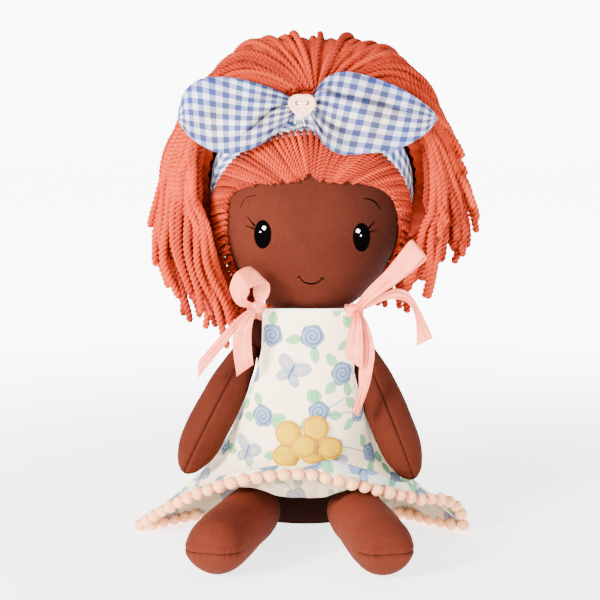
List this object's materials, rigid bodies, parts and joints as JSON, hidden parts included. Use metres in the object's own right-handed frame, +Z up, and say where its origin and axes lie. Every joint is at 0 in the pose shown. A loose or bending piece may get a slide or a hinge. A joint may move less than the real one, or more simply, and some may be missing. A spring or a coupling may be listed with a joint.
{
  "type": "rag doll",
  "caption": "Seated stuffed cotton rag doll with yarn hair, a gingham headband and bow, and a loose printed dress with pom-pom trim, tied at the shoulders with ribbon.",
  "frame": {"origin": "on the flat underside of the seat, in the doll's middle plane, 5 mm in front of the torso's side seams", "axes": "+Z up through the seated doll, -Y the way the doll faces, +X towards the doll's left hand side (the viewer's right)"},
  "size_m": [0.1912, 0.1846, 0.2815],
  "materials": {
    "brown_cotton": "woven matte",
    "stuffing": "loose fibre",
    "yarn": "twisted yarn",
    "gingham": "woven check",
    "button_wood": "satin",
    "printed_cotton": "printed woven matte",
    "pom_pom": "fluffy",
    "yellow_felt": "felt",
    "satin_ribbon": "satin"
  },
  "bodies": {
    "torso": {"torso_front_panel": "brown_cotton", "torso_back_panel": "brown_cotton", "torso_filling": "stuffing", "dress_front_panel": "printed_cotton", "dress_back_panel": "printed_cotton", "dress_hem_facing": "printed_cotton", "pom_trim_front": "pom_pom", "pom_trim_back": "pom_pom", "flower_petals": "yellow_felt", "flower_centre": "yellow_felt", "left_shoulder_tie": "satin_ribbon", "left_tie_tail_1": "satin_ribbon", "left_tie_tail_2": "satin_ribbon", "right_shoulder_tie": "satin_ribbon", "right_tie_tail_1": "satin_ribbon", "right_tie_tail_2": "satin_ribbon"},
    "neck": {"neck": "brown_cotton"},
    "head": {"face_panel": "brown_cotton", "head_back_panel": "brown_cotton", "head_filling": "stuffing", "hair_fringe": "yarn", "hair_crown": "yarn", "hair_lock_01": "yarn", "hair_lock_02": "yarn", "hair_lock_03": "yarn", "hair_lock_04": "yarn", "hair_lock_05": "yarn", "hair_lock_06": "yarn", "hair_lock_07": "yarn", "hair_lock_08": "yarn", "hair_lock_09": "yarn", "hair_lock_10": "yarn", "hair_lock_11": "yarn", "hair_lock_12": "yarn", "hair_lock_13": "yarn", "hair_lock_14": "yarn", "hair_lock_15": "yarn", "hair_lock_16": "yarn", "headband": "gingham", "bow_lobe_left": "gingham", "bow_lobe_right": "gingham", "bow_gather": "gingham", "heart_button": "button_wood"},
    "left_arm_tab": {"left_arm_tab": "brown_cotton"},
    "left_arm": {"left_arm_outer_panel": "brown_cotton", "left_arm_inner_panel": "brown_cotton", "left_arm_filling": "stuffing"},
    "left_leg_tab": {"left_leg_tab": "brown_cotton"},
    "left_leg": {"left_leg_top_panel": "brown_cotton", "left_leg_under_panel": "brown_cotton", "left_leg_filling": "stuffing"},
    "right_arm_tab": {"right_arm_tab": "brown_cotton"},
    "right_arm": {"right_arm_outer_panel": "brown_cotton", "right_arm_inner_panel": "brown_cotton", "right_arm_filling": "stuffing"},
    "right_leg_tab": {"right_leg_tab": "brown_cotton"},
    "right_leg": {"right_leg_top_panel": "brown_cotton", "right_leg_under_panel": "brown_cotton", "right_leg_filling": "stuffing"}
  },
  "joints": [
    {"name": "neck_nod", "type": "hinge", "parent": "torso", "child": "neck", "pos_m": [0.0015, 0.005, 0.117], "axis": [1, 0, 0], "range_deg": [-8, 5], "stiffness_Nm_per_rad": 2},
    {"name": "head_turn", "type": "hinge", "parent": "neck", "child": "head", "pos_m": [0.0015, 0.005, 0.117], "axis": [0, 0, 1], "range_deg": [-8, 8], "stiffness_Nm_per_rad": 0.4},
    {"name": "left_arm_swing", "type": "hinge", "parent": "torso", "child": "left_arm_tab", "pos_m": [-0.03031, 0.002, 0.107], "axis": [-1, 0, 0], "range_deg": [0, 50], "deforming": ["left_tie_tail_1", "left_tie_tail_2"]},
    {"name": "left_arm_lift", "type": "hinge", "parent": "left_arm_tab", "child": "left_arm", "pos_m": [-0.03031, 0.002, 0.107], "axis": [0, 1, 0], "range_deg": [0, 28]},
    {"name": "left_leg_swing", "type": "hinge", "parent": "torso", "child": "left_leg_tab", "pos_m": [-0.02198, -0.01148, 0.0165], "axis": [1, 0, 0], "range_deg": [0, 80]},
    {"name": "left_leg_spread", "type": "hinge", "parent": "left_leg_tab", "child": "left_leg", "pos_m": [-0.02198, -0.01148, 0.0165], "axis": [0, 0, -1], "range_deg": [-8, 2]},
    {"name": "right_arm_swing", "type": "hinge", "parent": "torso", "child": "right_arm_tab", "pos_m": [0.03031, 0.002, 0.107], "axis": [-1, 0, 0], "range_deg": [0, 50], "deforming": ["right_tie_tail_1", "right_tie_tail_2"]},
    {"name": "right_arm_lift", "type": "hinge", "parent": "right_arm_tab", "child": "right_arm", "pos_m": [0.03031, 0.002, 0.107], "axis": [0, -1, 0], "range_deg": [0, 28]},
    {"name": "right_leg_swing", "type": "hinge", "parent": "torso", "child": "right_leg_tab", "pos_m": [0.02198, -0.01148, 0.0165], "axis": [1, 0, 0], "range_deg": [0, 80]},
    {"name": "right_leg_spread", "type": "hinge", "parent": "right_leg_tab", "child": "right_leg", "pos_m": [0.02198, -0.01148, 0.0165], "axis": [0, 0, 1], "range_deg": [-8, 2]}
  ]
}
